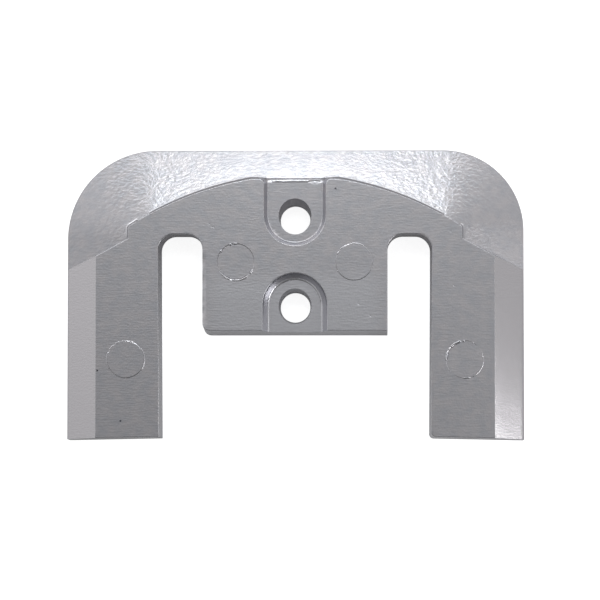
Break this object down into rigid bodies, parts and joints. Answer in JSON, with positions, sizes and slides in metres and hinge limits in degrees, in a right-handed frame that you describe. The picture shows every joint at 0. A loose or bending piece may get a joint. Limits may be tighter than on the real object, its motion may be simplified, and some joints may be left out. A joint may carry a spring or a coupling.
{
  "type": "sacrificial anode plate",
  "caption": "Flat cast anode for a boat's drive: a wide rim with an arm at each side and a drilled tab between them, bolted on flat.",
  "frame": {"origin": "on the mounting face, midway between the two bolt holes", "axes": "+X across the two arms, +Y along the line of the bolts towards the rim, +Z out of the mounting face towards the face that meets the water"},
  "size_m": [0.144, 0.0917, 0.0125],
  "materials": {
    "cast_aluminium": "as cast, satin, lightly grained"
  },
  "bodies": {
    "root": {"anode_plate": "cast_aluminium"}
  },
  "joints": []
}
